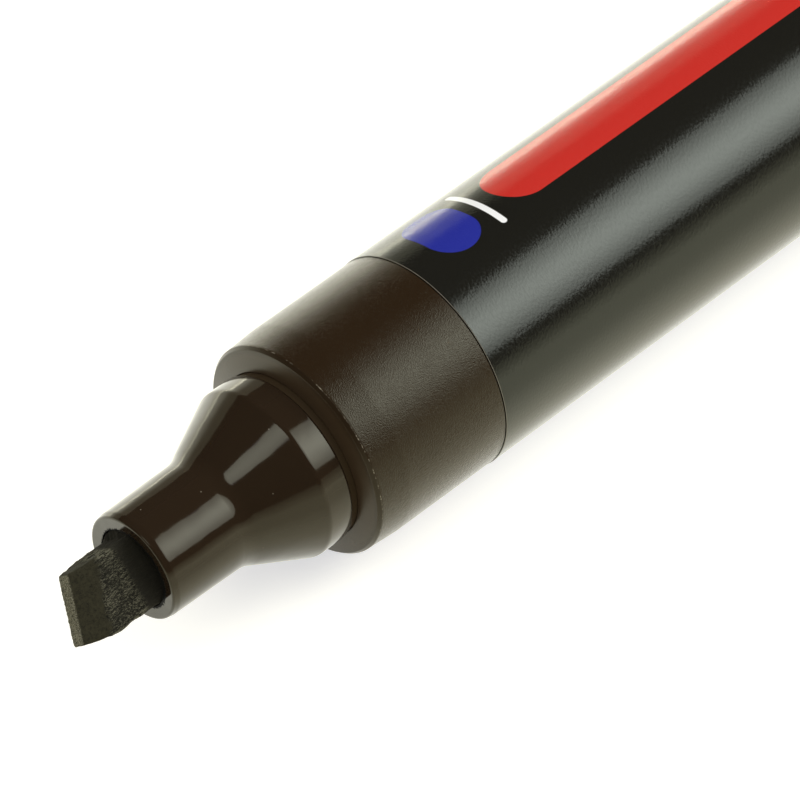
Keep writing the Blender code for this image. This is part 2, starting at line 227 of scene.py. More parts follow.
def glossFinish(name, look):
    material, tree, shader = newFinish(name, {
        "IOR": 1.5, "Specular IOR Level": look["gloss"], "Specular Tint": look["shine"],
        "Coat Weight": look["coat"], "Coat Roughness": look["roughness"]})
    space = markerSpace(tree)
    axes = addNode(tree, "ShaderNodeSeparateXYZ", {0: space})
    soft = look["edgeSoft"]
    dust = specks(tree, space, look["speckSize"], look["speckCell"])
    tone = mixColour(tree, dust, look["colour"], look["dust"])
    # dust settled in the snap groove, painted paler than the dust alone: painted light that lifts the shade
    # in the groove
    grooveDustAndLight = ramp(tree, axes.outputs[0], -look["grooveFrom"] - soft, -look["grooveFrom"] + soft)
    tone = mixColour(tree, grooveDustAndLight, tone, look["grooveDustAndLight"])
    # dried ink on the lip, more to one side and ragged towards the outside
    aside, above = (maths(tree, "SUBTRACT", axes.outputs[k + 1], look["inkAside"][k]) for k in (0, 1))
    radius = maths(tree, "SQRT", maths(tree, "ADD", squared(tree, aside), squared(tree, above)))
    blots = noise(tree, space, 1 / look["inkSize"])
    ragged = maths(tree, "MULTIPLY_ADD", blots, look["inkRagged"], radius)
    inkEdge = look["inkRadius"] + look["inkRagged"] / 2
    inked = ramp(tree, ragged, inkEdge + soft, inkEdge - soft)
    inkStart, inkFull = look["inkDepth"]
    onLip = ramp(tree, axes.outputs[0], inkStart - noseTip, inkFull - noseTip)
    inked = maths(tree, "MULTIPLY", inked, onLip)
    tree.links.new(mixColour(tree, inked, tone, look["ink"]), shader.inputs["Base Color"])
    # ink and settled dust are dull
    dull = maths(tree, "MAXIMUM", inked, grooveDustAndLight)
    gloss = ramp(tree, dull, 0, 1, look["gloss"], look["dullGloss"])
    tree.links.new(gloss, shader.inputs["Specular IOR Level"])
    tree.links.new(ramp(tree, dull, 0, 1, look["coat"], 0.0), shader.inputs["Coat Weight"])
    smear = noise(tree, space, 1 / look["smearSize"], detail=3.0)
    rough = ramp(tree, smear, *look["smearSpan"], look["roughness"], look["smearRoughness"])
    rough = maths(tree, "MULTIPLY_ADD", maths(tree, "ADD", dust, dull), look["dullRoughness"], rough)
    tree.links.new(rough, shader.inputs["Roughness"])
    waves = noise(tree, space, 1 / look["waveSize"], roughness=0.4)
    bump(tree, shader, waves, look["waveHeight"] * mm)
    return material


# Spark-eroded matte plastic of the collar: fine grain on the round side, a satin face painted paler as
# painted light, painted glints on the flash along the edge
mattePlastic = {
    "colour": (0.0180, 0.0096, 0.0038, 1), "pale": (0.0232, 0.0137, 0.0068, 1),
    "face": (0.0450, 0.0290, 0.0165, 1), "flashGlint": (0.30, 0.27, 0.20, 1), "shine": (0.965, 1.0, 0.79, 1),
    "gloss": 0.38, "hollowGloss": 0.25, "roughness": 0.13, "faceRoughness": 0.26, "faceGloss": 0.28,
    "grainSize": 0.092, "grainHeight": 0.033, "grainSpan": (0.36, 0.62), "faceGrain": 0.06,
    "grainEnd": 13.72, "grainFade": 0.1, "faceFrom": 14.04, "faceFade": 0.2,
    "flashAt": 13.80, "flashWidth": 0.06, "flashSize": 0.36, "flashSpan": (0.53, 0.64)}


def matteFinish(name, look):
    material, tree, shader = newFinish(name, {
        "IOR": 1.5, "Specular IOR Level": look["faceGloss"], "Specular Tint": look["shine"]})
    space = markerSpace(tree)
    along = addNode(tree, "ShaderNodeSeparateXYZ", {0: space}).outputs[0]
    grained = ramp(tree, along, -look["grainEnd"] - look["grainFade"], -look["grainEnd"] + look["grainFade"])
    grain = noise(tree, space, 1 / look["grainSize"], detail=1.0)
    tone = mixColour(tree, grain, look["colour"], look["pale"])
    # painted light: the face turns away from the lamps, so it is given a paler colour in place of the light
    # it lacks
    onFace = ramp(tree, along, -look["faceFrom"], -look["faceFrom"] - look["faceFade"])
    tone = mixColour(tree, onFace, tone, look["face"])
    # painted glints: a broken pale line round the front edge, where light catches the moulding flash
    aside = maths(tree, "ABSOLUTE", maths(tree, "ADD", along, look["flashAt"]))
    broken = noise(tree, space, 1 / look["flashSize"], detail=3.0, roughness=0.7)
    broken = ramp(tree, broken, *look["flashSpan"])
    glintShare = maths(tree, "MULTIPLY", ramp(tree, aside, look["flashWidth"], 0.0), broken)
    tree.links.new(mixColour(tree, glintShare, tone, look["flashGlint"]), shader.inputs["Base Color"])
    rough = ramp(tree, grained, 0, 1, look["faceRoughness"], look["roughness"])
    tree.links.new(rough, shader.inputs["Roughness"])
    # the grain's hollows shine less than its tops
    gloss = ramp(tree, grain, *look["grainSpan"], look["hollowGloss"], look["gloss"])
    gain = maths(tree, "SUBTRACT", gloss, look["faceGloss"])
    gloss = maths(tree, "MULTIPLY_ADD", gain, grained, look["faceGloss"])
    tree.links.new(gloss, shader.inputs["Specular IOR Level"])
    height = maths(tree, "MULTIPLY", grain, ramp(tree, grained, 0, 1, look["faceGrain"], 1.0))
    bump(tree, shader, height, look["grainHeight"] * mm)
    return material


# Lacquered barrel: black with fine rings of polish and a printed pill, pinstripe and bar
lacquer = {
    "black": (0.0102, 0.0095, 0.0071, 1), "shine": (0.92, 1.0, 0.90, 1), "roughness": 0.10,
    "streakRoughness": 0.22, "streakSpan": (0.3, 0.7), "streakSize": 0.17, "streakTurn": 33.0,
    "streakHeight": 0.0135, "bareEdgeGlint": (0.23, 0.21, 0.165, 1), "bareStart": (0.004, 0.016), "bareEnd": 0.042,
    "bareSoft": 0.02, "printRadius": 10.0, "printTurn": 18.5, "printSoft": 0.03}
printMarks = (
    {"colour": (0.0170, 0.0230, 0.250, 1), "middle": 5.4, "length": 5.0, "arc": 7.4},
    {"colour": (0.78, 0.78, 0.76, 1), "middle": 9.3, "length": 0.6, "arc": 7.4},
    {"colour": (0.490, 0.0240, 0.0170, 1), "middle": 36.0, "length": 50.0, "arc": 6.2})


# A printed shape with round ends: where the distance to its middle line is within half its smaller side
def printMask(tree, along, arc, mark, soft):
    bow = min(mark["length"], mark["arc"]) / 2
    beyond = maths(tree, "ABSOLUTE", maths(tree, "SUBTRACT", along, mark["middle"]))
    beyond = maths(tree, "MAXIMUM", maths(tree, "SUBTRACT", beyond, mark["length"] / 2 - bow), 0.0)
    aside = maths(tree, "SUBTRACT", maths(tree, "ABSOLUTE", arc), mark["arc"] / 2 - bow)
    aside = maths(tree, "MAXIMUM", aside, 0.0)
    distance = maths(tree, "SQRT", maths(tree, "ADD", squared(tree, beyond), squared(tree, aside)))
    return ramp(tree, distance, bow + soft, bow - soft)


def lacquerFinish(name, look):
    material, tree, shader = newFinish(name, {"IOR": 1.5, "Specular Tint": look["shine"]})
    space = markerSpace(tree)
    axes = addNode(tree, "ShaderNodeSeparateXYZ", {0: space})
    along = axes.outputs[0]
    turn = maths(tree, "ARCTAN2", axes.outputs[1], axes.outputs[2])
    arc = maths(tree, "SUBTRACT", turn, math.radians(look["printTurn"]))
    arc = maths(tree, "MULTIPLY", maths(tree, "WRAP", arc, math.pi, -math.pi), look["printRadius"])
    tone = look["black"]
    for mark in printMarks:
        tone = mixColour(tree, printMask(tree, along, arc, mark, look["printSoft"]), tone, mark["colour"])
    # the rolled edge of the tube is rubbed bare and painted pale, a painted highlight for the light its
    # rounding catches
    bareEdgeGlint = ramp(tree, along, look["bareEnd"] + look["bareSoft"], look["bareEnd"] - look["bareSoft"])
    bareEdgeGlint = maths(tree, "MULTIPLY", bareEdgeGlint, ramp(tree, along, *look["bareStart"]))
    tree.links.new(mixColour(tree, bareEdgeGlint, tone, look["bareEdgeGlint"]), shader.inputs["Base Color"])
    # rings of polish: quick along the axis, slow round it
    rings = maths(tree, "DIVIDE", along, look["streakSize"])
    stretched = addNode(tree, "ShaderNodeCombineXYZ", {
        0: rings, 1: maths(tree, "MULTIPLY", turn, look["streakTurn"])})
    streak = noise(tree, stretched.outputs[0], 1.0)
    rough = ramp(tree, streak, *look["streakSpan"], look["roughness"], look["streakRoughness"])
    tree.links.new(rough, shader.inputs["Roughness"])
    bump(tree, shader, streak, look["streakHeight"] * mm)
    return material


# Felt of the nib: inked fibres with painted light where they stand up and painted shade between them, worn
# smooth on the bevels, cut ends at the tip painted pale with the light they catch
felt = {
    "deep": (0.010, 0.0095, 0.0060, 1), "pale": (0.106, 0.101, 0.068, 1), "worn": (0.0345, 0.0315, 0.0175, 1),
    "cutDark": (0.028, 0.027, 0.020, 1), "cutPaleAndLit": (0.275, 0.262, 0.188, 1),
    "soakedAndShaded": (0.0200, 0.0185, 0.0130, 1), "roughness": 0.8, "shine": 0.15,
    "fibreSize": 0.060, "fibreDraw": 0.30, "fibreSpan": (0.43, 0.70), "fibreStand": 0.09, "fibreHeight": 0.05,
    "fibreStrength": 0.8, "rubScale": 3.5, "rubSpan": (0.3, 0.7), "endSize": 0.10, "endSpan": (0.35, 0.65),
    "soakEnd": 1.75, "soakFade": 0.55, "soakShare": 0.92, "soakStand": 0.12}


def feltFinish(name, look):
    material, tree, shader = newFinish(name, {
        "IOR": 1.45, "Roughness": look["roughness"], "Specular IOR Level": look["shine"]})
    space = markerSpace(tree)
    along = addNode(tree, "ShaderNodeSeparateXYZ", {0: space}).outputs[0]
    stand, worn, cut = (addNode(tree, "ShaderNodeAttribute", {}, attribute_name=mark).outputs["Fac"]
                        for mark in ("stand", "worn", "cut"))
    drawn = addNode(tree, "ShaderNodeMapping", {"Vector": space, "Scale": (look["fibreDraw"], 1, 1)})
    fibre = noise(tree, drawn.outputs[0], 1 / look["fibreSize"], roughness=0.6)
    # painted light and shade: fibres that stand out are paler and the hollows between them darker, more so on
    # the narrow sides
    litRelief = maths(tree, "MULTIPLY_ADD", stand, look["fibreStand"], fibre)
    tone = mixColour(tree, ramp(tree, litRelief, *look["fibreSpan"]), look["deep"], look["pale"])
    # the bevels are rubbed in patches
    patches = ramp(tree, noise(tree, space, look["rubScale"], detail=3.0), *look["rubSpan"])
    rubbed = maths(tree, "MULTIPLY", ramp(tree, fibre, *look["rubSpan"]), patches)
    smooth = mixColour(tree, rubbed, look["worn"], look["deep"])
    tone = mixColour(tree, worn, tone, smooth)
    # darker where the ink has soaked forward out of the mouth, and painted shade for the lip's shadow on the
    # nib
    wet = maths(tree, "MULTIPLY_ADD", stand, look["soakStand"], along)
    soakEnd = -noseTip - look["soakEnd"]
    soakedAndShaded = ramp(tree, wet, soakEnd, soakEnd + look["soakFade"], 0.0, look["soakShare"])
    tone = mixColour(tree, soakedAndShaded, tone, look["soakedAndShaded"])
    # the cut fibre ends are pale, and painted paler still in place of the sheen of light they catch
    ends = noise(tree, space, 1 / look["endSize"], detail=3.0, roughness=0.7)
    ends = mixColour(tree, ramp(tree, ends, *look["endSpan"]), look["cutDark"], look["cutPaleAndLit"])
    tree.links.new(mixColour(tree, cut, tone, ends), shader.inputs["Base Color"])
    bump(tree, shader, fibre, look["fibreHeight"] * mm, look["fibreStrength"])
    return material


# Plain moulded finishes with a soft mottle, for the cap, its liner, the plug and the inner pieces
capPlastic = {
    "colour": (0.0215, 0.0150, 0.0105, 1), "pale": (0.0250, 0.0180, 0.0130, 1),
    "roughness": 0.14, "mottle": 0.4, "height": 0.002}
linerPlastic = {
    "colour": (0.55, 0.55, 0.53, 1), "pale": (0.62, 0.62, 0.60, 1),
    "roughness": 0.36, "mottle": 0.4, "height": 0.002}
fibreRod = {
    "colour": (0.030, 0.029, 0.028, 1), "pale": (0.075, 0.072, 0.068, 1),
    "roughness": 0.80, "mottle": 0.15, "height": 0.03}
filmSleeve = {
    "colour": (0.55, 0.55, 0.53, 1), "pale": (0.64, 0.64, 0.62, 1),
    "roughness": 0.22, "mottle": 1.5, "height": 0.002}
mottleSpan = (0.3, 0.7)
mottleDulls = 1.3                                  # how much rougher the pale parts are


def mouldedFinish(name, look):
    material, tree, shader = newFinish(name, {"IOR": 1.5})
    space = markerSpace(tree)
    cloud = noise(tree, space, 1 / look["mottle"], detail=3.0)
    tree.links.new(mixColour(tree, cloud, look["colour"], look["pale"]), shader.inputs["Base Color"])
    rough = ramp(tree, cloud, *mottleSpan, look["roughness"], look["roughness"] * mottleDulls)
    tree.links.new(rough, shader.inputs["Roughness"])
    bump(tree, shader, cloud, look["height"] * mm)
    return material


glossBlack = glossFinish("glossBlack", glossPlastic)
matteBlack = matteFinish("matteBlack", mattePlastic)
barrelLacquer = lacquerFinish("barrelLacquer", lacquer)
inkedFelt = feltFinish("inkedFelt", felt)
capBlack = mouldedFinish("capBlack", capPlastic)
linerWhite = mouldedFinish("linerWhite", linerPlastic)
rodFibre = mouldedFinish("rodFibre", fibreRod)
rodFilm = mouldedFinish("rodFilm", filmSleeve)
print("materials made")


# Nose: snout with a flat lip, cone, land and snap groove, and the mouth that holds the nib
nose = {
    "mouthRadius": 3.54, "mouthDepth": 4.0, "lipRadius": 4.76, "lipRound": 0.22, "lipTaper": 0.6,
    "lipBlend": 0.8, "tipRadius": 4.90, "snoutRadius": 5.0, "snoutLength": 8.3, "snoutBlend": 3.2,
    "coneLength": 6.0, "landRadius": 7.86, "landLength": 2.50, "landRound": 0.85, "landRearRound": 0.2,
    "neckRadius": 7.62, "bodyRadius": 7.40, "shoulderDepth": 1.5, "wall": 1.3, "edge": 0.08,
    "seatWidth": 6.1, "seatThickness": 4.2, "seatLength": 6.0, "seatPower": 10.0, "segments": 288}
nibRoll = math.radians(45)                         # broad face of the nib turned from the top to the front


# A rounded rectangle seen from its centre: distance to its side in each direction, by a high power sum
def seatRadius(angle, width, thickness, power):
    across = np.abs(np.sin(angle - nibRoll)) / (width / 2)
    through = np.abs(np.cos(angle - nibRoll)) / (thickness / 2)
    return (across ** power + through ** power) ** (-1 / power)


# A rounded profile carried round the axis. Where the profile comes nearer to the axis than the nib's seat,
# the seat's own radius takes its place, so that the slot for the nib stays open.
def makeNose(size):
    coneTop = noseTip - size["snoutLength"]
    landTop = coneTop - size["coneLength"]
    landFoot = landTop - size["landLength"]
    shoulder = collarFace - size["shoulderDepth"]
    neck = size["neckRadius"]
    body = size["bodyRadius"]
    chamber = body - size["wall"]
    mouthFloor = noseTip - size["mouthDepth"]
    seatFoot = mouthFloor - size["seatLength"]
    slope = (size["landRadius"] - size["snoutRadius"]) / size["coneLength"]
    chamberTop = size["snoutRadius"] + (coneTop - seatFoot) * slope - size["wall"]
    knee = seatFoot - (chamber - chamberTop) / slope
    edge = size["edge"]
    line = roundedLine([
        (mouthFloor, size["mouthRadius"], edge),
        (noseTip, size["mouthRadius"], edge),
        (noseTip, size["lipRadius"], size["lipRound"]),
        (noseTip - size["lipTaper"], size["tipRadius"], size["lipBlend"]),
        (coneTop, size["snoutRadius"], size["snoutBlend"]),
        (landTop, size["landRadius"], size["landRound"]),
        (landFoot, size["landRadius"], size["landRearRound"]),
        (landFoot, neck, edge), (shoulder, neck, edge), (shoulder, body, edge),
        (noseRear, body, edge), (noseRear, chamber, edge), (knee, chamber, edge),
        (seatFoot, chamberTop, edge), (seatFoot, 0, edge), (mouthFloor, 0, edge)])
    angle = np.linspace(0, 2 * np.pi, size["segments"], endpoint=False)[None, :]
    seat = seatRadius(angle, size["seatWidth"], size["seatThickness"], size["seatPower"])
    inSeat = line[:, 1:2] < seat.min()
    radius = np.where(inSeat, seat, np.maximum(line[:, 1:2], 0))
    return gridPiece("noseShell", turnGrid(line[:, :1], radius, angle), True, glossBlack)


dress(makeNose(nose), "marker", "gloss_plastic", "nose_cone")


# Collar: matte sleeve flush with the barrel, its face sloping back to a rounded edge, its tenon in the barrel
collar = {
    "radius": 9.94, "frontRadius": 9.76, "draftLength": 3.2, "draftBlend": 6.0, "bore": 7.65, "faceAt": 14.52,
    "faceDrop": 0.46, "bevel": 0.24, "bevelEdge": 0.08, "rearGap": 0.06, "tenonRadius": 9.2, "tenonBore": 8.2,
    "webBore": 6.35, "webHalf": 0.75, "edge": 0.06}


def makeCollar(size):
    edge = size["edge"]
    rim = size["faceAt"] - size["faceDrop"]
    inside = size["frontRadius"] - size["bevel"]
    lean = size["faceDrop"] / (size["frontRadius"] - size["bore"]) * size["bevel"]
    return turnedPiece("gripCollar", [
        (size["faceAt"], size["bore"], edge), (rim + lean, inside, size["bevelEdge"]),
        (rim - size["bevel"], size["frontRadius"], size["bevelEdge"]),
        (rim - size["draftLength"], size["radius"], size["draftBlend"]),
        (size["rearGap"], size["radius"], edge), (size["rearGap"], size["tenonRadius"], edge),
        (collarRear, size["tenonRadius"], edge), (collarRear, size["tenonBore"], edge),
        (-size["webHalf"], size["tenonBore"], edge), (-size["webHalf"], size["webBore"], edge),
        (size["webHalf"], size["webBore"], edge), (size["webHalf"], size["bore"], edge)], matteBlack)


dress(makeCollar(collar), "marker", "matte_plastic", "grip_collar")


# Barrel: thin lacquered tube with rolled ends
barrel = {"radius": 10.0, "wall": 0.5, "rolledEdge": 0.06}


def makeBarrel(size):
    inner = size["radius"] - size["wall"]
    edge = size["rolledEdge"]
    return turnedPiece("barrelTube", [
        (barrelFront, inner, edge), (barrelFront, size["radius"], edge),
        (barrelRear, size["radius"], edge), (barrelRear, inner, edge)], barrelLacquer)


dress(makeBarrel(barrel), "marker", "lacquer", "barrel_tube")


# Tail plug: flange against the barrel and a hollow spigot that the cap is posted on
plug = {
    "flangeRadius": 9.9, "flangeLength": 1.5, "flangeEdge": 0.3, "gap": 0.3, "spigotRadius": 7.75,
    "wall": 1.2, "tenonRadius": 9.2, "tenonBore": 8.2, "edge": 0.1}


def makePlug(size):
    edge = size["edge"]
    flangeFront = barrelRear - size["gap"]
    flangeRear = flangeFront - size["flangeLength"]
    spigotBore = size["spigotRadius"] - size["wall"]
    spigotFloor = plugRear + size["wall"]
    return turnedPiece("tailPlug", [
        (plugRear, 0), (plugRear, size["spigotRadius"], size["flangeEdge"]),
        (flangeRear, size["spigotRadius"], edge), (flangeRear, size["flangeRadius"], size["flangeEdge"]),
        (flangeFront, size["flangeRadius"], edge), (flangeFront, size["tenonRadius"], edge),
        (plugFront, size["tenonRadius"], edge), (plugFront, size["tenonBore"], edge),
        (barrelRear, size["tenonBore"], edge), (barrelRear, spigotBore, edge),
        (spigotFloor, spigotBore, edge), (spigotFloor, 0)], capBlack, closed=False)


dress(makePlug(plug), "marker", "plug_plastic", "tail_plug")
print("turned pieces made")


# Nib: a felt bar whose end is cut obliquely, bevelled on both broad faces and eased at the long corner
nib = {
    "width": 5.7, "thickness": 4.0, "tipThickness": 1.7, "corner": 0.38, "slant": 20.0, "bevelRun": 2.4,
    "bevelSoft": 0.2, "reach": 6.58, "swell": 0.25, "lean": 0.2, "relief": 0.55, "reliefRun": 2.6,
    "tipRound": 0.18, "shearStart": 20.0, "shearEnd": 27.0, "freeSpan": (0.3, 1.3), "rootRadius": 3.46,
    "rootFront": -0.10, "rootFade": 0.3, "rootRagged": 0.25, "rootCell": 0.28, "rootSeed": 6,
    "fibreCells": ((0.55, 0.09, 0.09), (0.26, 0.085, 0.085)), "fibreSeeds": (3, 4), "fineFibre": 0.7,
    "lumpCells": ((1.1, 0.8, 0.8), (0.45, 0.32, 0.32)), "lumpSeeds": (5, 7), "fineLump": 0.6,
    "bodyFibre": 0.026, "bevelFibre": 0.006, "endFibre": 0.045, "lump": 0.03, "flankFibre": 0.8,
    "flankStand": 3.6, "wetReach": 1.5, "wetFibre": 0.2, "wornSpan": (-0.1, 0.4), "wornLump": 0.3,
    "wornFibre": 0.25, "cutWhole": 0.6,
    "columns": 440, "hiddenRows": 14, "rows": 168, "rimRows": 7, "capRows": 20}


# 0 up to the start, 1 past the end, with a smooth step between
def rise(value, start, end):
    share = np.clip((value - start) / (end - start), 0, 1)
    return share * share * (3 - 2 * share)


# Smooth random bumps in space: random values on a lattice, blended by a smooth step between its points
def feltNoise(points, cell, seed, side=32):
    lattice = np.random.default_rng(seed).random((side, side, side)) * 2 - 1
    scaled = points / np.asarray(cell)
    base = np.floor(scaled).astype(int)
    part = scaled - base
    part = part * part * (3 - 2 * part)
    total = np.zeros(points.shape[:-1])
    for corner in np.ndindex(2, 2, 2):
        index = (base + corner) % side
        share = np.prod(np.where(np.array(corner) == 1, part, 1 - part), axis=-1)
        total += lattice[index[..., 0], index[..., 1], index[..., 2]] * share
    return total


# Coarse bumps and a share of finer ones
def twoNoises(points, cells, seeds, fineShare):
    coarse, fine = (feltNoise(points, cell, seed) for cell, seed in zip(cells, seeds))
    return coarse + fineShare * fine


# Evenly spaced points round a rounded rectangle, with the outward way at each
def sectionLoop(width, thickness, corner, count):
    half, deep = width / 2, thickness / 2
    loop = roundedLine([
        (half, deep, corner), (-half, deep, corner), (-half, -deep, corner), (half, -deep, corner)], hold=0.0)
    closed = np.vstack([loop, loop[:1]])
    length = np.concatenate([[0], np.cumsum(np.linalg.norm(np.diff(closed, axis=0), axis=1))])
    at = np.linspace(0, length[-1], count, endpoint=False)
    spots = np.stack([np.interp(at, length, closed[:, k]) for k in (0, 1)], -1)
    way = np.roll(spots, -1, 0) - np.roll(spots, 1, 0)
    out = np.stack([way[:, 1], -way[:, 0]], -1)
    out /= np.linalg.norm(out, axis=1)[:, None]
    out *= np.sign(np.sum(out * spots, axis=1))[:, None]
    return spots, out


# A rounded rectangle carried along the bar, w across its width and n through its thickness. The thickness
# falls evenly along the bevels, the rows lean over with the slant, and noise moves the points outwards.
def makeNib(size):
    spots, out = sectionLoop(size["width"], size["thickness"], size["corner"], size["columns"])
    flank = np.abs(out[None, :, 0])                # 1 on the narrow sides
    half, deep = size["width"] / 2, size["thickness"] / 2
    tilt = math.tan(math.radians(size["slant"]))
    edgeMiddle = noseTip + size["reach"]
    bevelStart = edgeMiddle - size["bevelRun"]
    mouthFloor = noseTip - nose["mouthDepth"]
    tipRound = size["tipRound"]
    # rows go along the bar, over the rounded rim of the cut and in to the middle of the end face
    hidden = np.linspace(nibFoot, size["shearEnd"], size["hiddenRows"])[:-1]
    shown = np.linspace(size["shearEnd"], edgeMiddle - tipRound, size["rows"])
    overTurn = np.linspace(0, np.pi / 2, size["rimRows"])[1:]
    inward = np.linspace(1, 0, size["capRows"] + 1)[1:]
    bar = np.concatenate([hidden, shown])
    over = edgeMiddle - tipRound * (1 - np.sin(overTurn))
    row = np.concatenate([bar, over, 0 * inward + edgeMiddle])[:, None]
    inset = np.concatenate([0 * bar, tipRound * (1 - np.cos(overTurn)), 0 * inward + tipRound])[:, None]
    shrink = np.concatenate([0 * bar + 1, 0 * overTurn + 1, inward])[:, None]
    # both broad faces slope in to the tip
    past = row - bevelStart
    past = (past + np.hypot(past, size["bevelSoft"])) / 2
    deepAt = deep - (deep - size["tipThickness"] / 2) * past / size["bevelRun"] - inset
    n = spots[None, :, 1] * deepAt / deep * shrink
    # outside its seat the felt is a little wider and leans to the long corner, which is eased back at the tip
    freeStart, freeEnd = size["freeSpan"]
    free = rise(row, mouthFloor + freeStart, mouthFloor + freeEnd)
    share = spots[None, :, 0] / half
    easing = np.maximum(row - (edgeMiddle - size["reliefRun"]), 0) * size["relief"] / size["reliefRun"]
    w = share * (half + free * size["swell"] / 2 - inset) - np.maximum(share, 0) * easing
    middle = -easing / 2
    w = middle + (w - middle) * shrink + free * size["lean"]
    along = row + tilt * w * rise(row, size["shearStart"], size["shearEnd"])
    # the root fills the mouth out to its round wall and ends in a ragged front
    rag = feltNoise(np.stack([0 * w, w, n], -1), size["rootCell"], size["rootSeed"])
    front = noseTip + size["rootFront"] + size["rootRagged"] * rag
    root = free * (1 - rise(along, front, front + size["rootFade"]))
    w = w + root * (share * np.sqrt(size["rootRadius"] ** 2 - n * n) - w)
    # fibres stand out of the faces, less on the bevels and by the mouth, and along the bar on the end face
    spot = np.stack([along, w, n], -1)
    fibre = twoNoises(spot, size["fibreCells"], size["fibreSeeds"], size["fineFibre"])
    lump = twoNoises(spot, size["lumpCells"], size["lumpSeeds"], size["fineLump"])
    wornStart, wornEnd = size["wornSpan"]
    uneven = row + size["wornLump"] * lump + size["wornFibre"] * fibre
    worn = rise(uneven, bevelStart + wornStart, bevelStart + wornEnd)
    cut = rise(inset / tipRound + 0 * lump, 0.0, size["cutWhole"])
    height = fibre * (size["bodyFibre"] + (size["bevelFibre"] - size["bodyFibre"]) * worn)
    dry = rise(along, noseTip, noseTip + size["wetReach"])
    height = height * (size["wetFibre"] + (1 - size["wetFibre"]) * dry) + size["lump"] * lump
    height = height * (1 + size["flankFibre"] * flank)
    w = w + (1 - cut) * height * out[None, :, 0]
    n = n + (1 - cut) * height * out[None, :, 1]
    along = along + cut * size["endFibre"] * fibre
    w[-1], n[-1], along[-1] = w[-2].mean(), 0, along[-2].mean()
    # width runs down to the front and thickness up to the front, both turned by the nib's roll
    c, s = math.cos(nibRoll), math.sin(nibRoll)
    y = axisY - (s * n + c * w) * mm
    z = axisZ + (c * n - s * w) * mm
    points = np.stack([seamX - along * mm, y, z], -1)
    rear = np.broadcast_to([seamX - nibFoot * mm, axisY, axisZ], points[:1].shape)
    # the stand mark carries the painted light and shade of the fibre relief into the felt, strongest on the
    # narrow sides
    marks = {"stand": fibre * (1 + size["flankStand"] * flank), "worn": worn, "cut": cut}
    marks = {name: np.concatenate([values[:1], values]) for name, values in marks.items()}
    return gridPiece("chiselNib", np.concatenate([rear, points]), False, inkedFelt, marks)


dress(makeNib(nib), "marker", "felt", "chisel_nib")
print("nib made")


# Cap: moulded shell with a stepped bore, a rounded closed end and a pocket clip
cap = {
    "radius": 9.9, "endRound": 1.2, "endWall": 2.0, "mouthEdge": 0.3, "bore": 8.05, "innerBore": 7.65,
    "edge": 0.15}
clip = {
    "width": 5.2, "tipWidth": 4.2, "thickness": 1.6, "gap": 1.3, "length": 28.0, "inset": 1.6, "foot": 5.0,
    "rootSink": 0.7, "bumpGap": 0.4, "bumpLength": 3.6, "shoulder": 2.0, "crook": 1.4, "tipNarrows": 0.45,
    "corner": 0.5, "columns": 64, "rows": 120, "crowding": 0.9}
liner = {"bore": 5.3, "wall": 0.8, "baseRadius": 7.35, "base": 1.2, "edge": 0.15}


def makeCap(size):
    capFloor = capEnd + size["endWall"]
    edge = size["edge"]
    return turnedPiece("capShell", [
        (capEnd, 0), (capEnd, size["radius"], size["endRound"]),
        (capMouth, size["radius"], size["mouthEdge"]), (capMouth, size["bore"], edge),
        (linerMouth, size["bore"], edge), (linerMouth, size["innerBore"], edge),
        (capFloor, size["innerBore"], edge), (capFloor, 0)], capBlack, closed=False)


# The clip is a rounded section between an upper and a lower line, carried along the cap. Both lines climb
# out of the cap in quarter ovals, the lower one dips to a bump, and the tip closes in a half circle.
def makeClip(size, capSize):
    rootHeight = capSize["radius"] - size["rootSink"]
    inner = capSize["radius"] + size["gap"]
    outer = inner + size["thickness"]
    start = capEnd + size["inset"]
    at = np.linspace(0, 1, size["rows"])
    at = size["length"] * (at - np.sin(2 * np.pi * at) / (2 * np.pi) * size["crowding"])
    end = size["length"]
    tipLength = size["thickness"] / 2
    climb = np.clip(at / size["shoulder"], 0, 1)
    top = rootHeight + (outer - rootHeight) * np.sqrt(1 - (1 - climb) ** 2)
    under = np.clip((at - size["foot"]) / size["crook"], 0, 1)
    low = rootHeight + (inner - rootHeight) * np.sqrt(1 - (1 - under) ** 2)
    bumpShare = np.clip((at - (end - size["bumpLength"])) / size["bumpLength"], 0, 1)
    low = low - (size["gap"] - size["bumpGap"]) * np.sin(np.pi * bumpShare) ** 2
    tip = np.sqrt(np.clip(1 - np.clip((at - (end - tipLength)) / tipLength, 0, 1) ** 2, 0, 1))
    middle, deep = (top + low) / 2, np.maximum((top - low) / 2 * tip, 0)
    taper = np.clip((at - size["foot"]) / (end - size["foot"]), 0, 1)
    half = size["width"] / 2 + (size["tipWidth"] - size["width"]) / 2 * taper
    half = half * (1 - size["tipNarrows"] + size["tipNarrows"] * tip)
    half[-1] = 0
    spots = sectionLoop(2.0, 2.0, size["corner"], size["columns"])[0]      # a square from -1 to 1
    y = axisY + spots[None, :, 0] * half[:, None] * mm
    z = axisZ + (middle[:, None] + spots[None, :, 1] * deep[:, None]) * mm
    x = seamX - (start + at[:, None]) * mm + 0 * y
    points = np.stack([x, y, z], -1)
    points[0] = points[0].mean(axis=0)
    return gridPiece("capClip", points, False, capBlack)


def makeLiner(size):
    base = linerRear + size["base"]
    outerRadius = size["bore"] + size["wall"]
    edge = size["edge"]
    return turnedPiece("capLiner", [
        (linerRear, 0), (linerRear, size["baseRadius"], edge),
        (base, size["baseRadius"], edge), (base, outerRadius, edge),
        (linerMouth, outerRadius, edge), (linerMouth, size["bore"], edge),
        (base, size["bore"], edge), (base, 0)], linerWhite, closed=False)


dress(makeCap(cap), "cap", "cap_plastic", "cap_shell")
dress(makeClip(clip, cap), "cap", "cap_plastic", "cap_shell")
dress(makeLiner(liner), "cap", "liner_plastic", "cap_liner")

